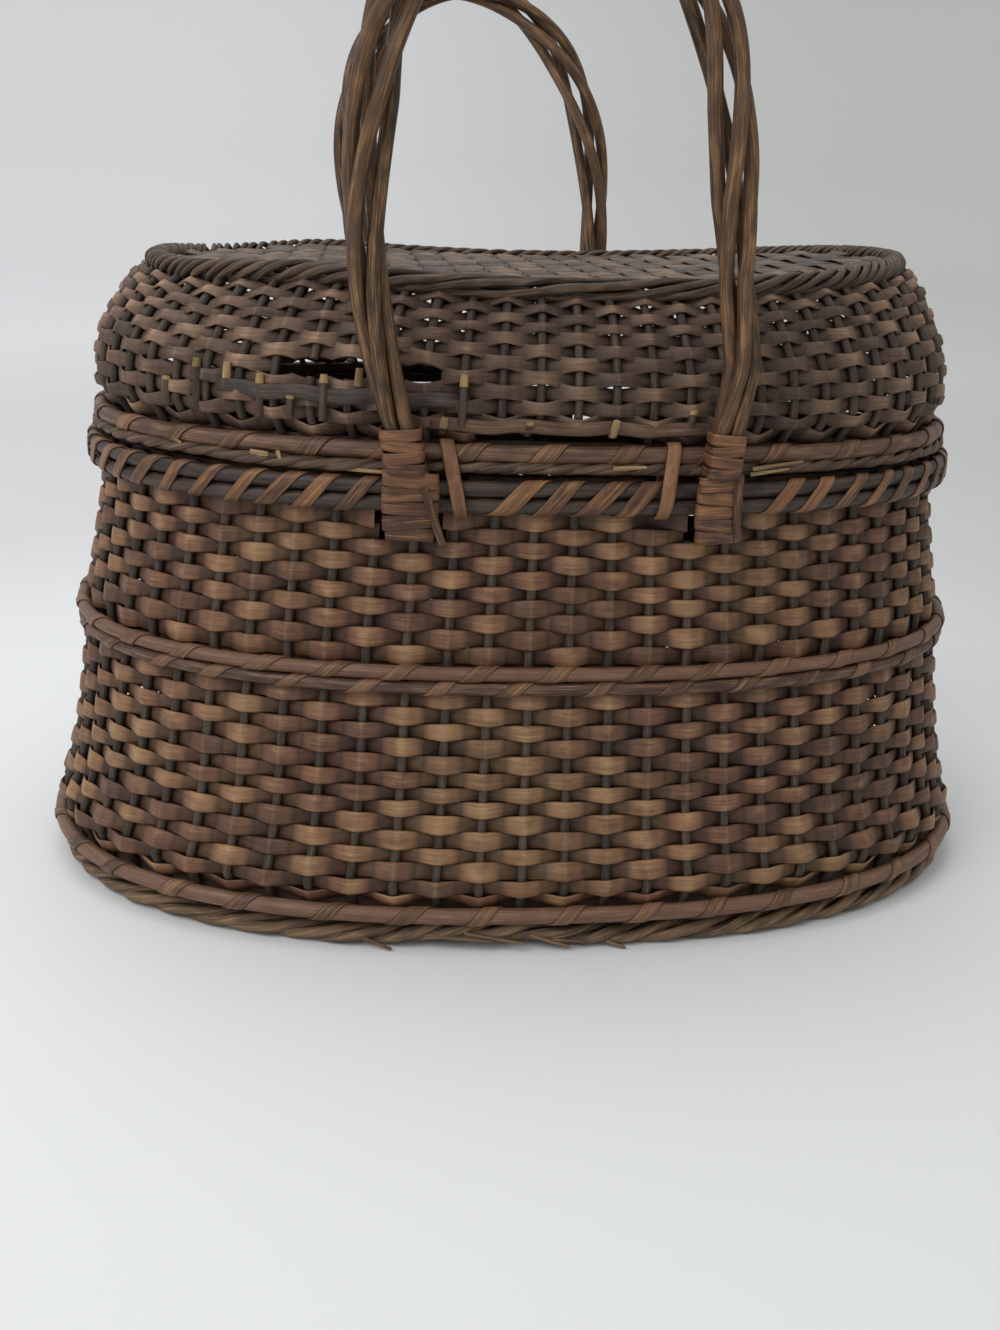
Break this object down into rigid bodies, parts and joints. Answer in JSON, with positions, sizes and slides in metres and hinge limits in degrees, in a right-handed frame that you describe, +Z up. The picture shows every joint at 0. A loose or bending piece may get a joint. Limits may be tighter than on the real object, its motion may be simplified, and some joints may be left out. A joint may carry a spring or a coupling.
{
  "type": "lidded wicker basket",
  "caption": "Oblong woven wicker basket with a flared body, a hinged domed lid and twisted willow swing handles on both long sides.",
  "frame": {"origin": "middle of the overall box, on the surface that the foot border stands on", "axes": "+X along the long side, +Y from the hinged near side to the far side, +Z up"},
  "size_m": [0.383, 0.268, 0.3494],
  "materials": {
    "body_reed": "aged satin reed",
    "lid_reed": "weathered grey-brown reed",
    "cane": "worn satin cane",
    "rim_rod": "dark stained rod",
    "strand": "dry twisted strand",
    "willow": "polished dark bark"
  },
  "bodies": {
    "basket": {"foot_border": "strand", "base_panel": "body_reed", "base_hoop": "cane", "lower_wall": "body_reed", "waist_hoop_lower": "cane", "waist_hoop_upper": "cane", "upper_wall": "body_reed", "rim_rod_lower": "rim_rod", "rim_rod_upper": "rim_rod"},
    "lid": {"lid_wall": "lid_reed", "lid_hoop": "cane", "lid_edge_border": "strand", "lid_top_border": "strand", "lid_top_panel": "lid_reed", "hinge_tie_left": "cane", "hinge_tie_right": "cane"},
    "near_handle": {"near_handle_rod_1": "willow", "near_handle_rod_2": "willow", "near_handle_rod_3": "willow", "near_handle_rod_4": "willow", "near_lashing_left": "cane", "near_lashing_right": "cane"},
    "far_handle": {"far_handle_rod_1": "willow", "far_handle_rod_2": "willow", "far_handle_rod_3": "willow", "far_handle_rod_4": "willow", "far_lashing_left": "cane", "far_lashing_right": "cane"}
  },
  "joints": [
    {"name": "lid_hinge", "type": "hinge", "parent": "basket", "child": "lid", "pos_m": [0, -0.11064, 0.164], "axis": [1, 0, 0], "range_deg": [0, 90]},
    {"name": "near_handle_swing", "type": "hinge", "parent": "lid", "child": "near_handle", "pos_m": [0, -0.11064, 0.164], "axis": [1, 0, 0], "range_deg": [0, 20]},
    {"name": "far_handle_swing", "type": "hinge", "parent": "basket", "child": "far_handle", "pos_m": [0, 0.11064, 0.164], "axis": [-1, 0, 0], "range_deg": [0, 110]}
  ]
}
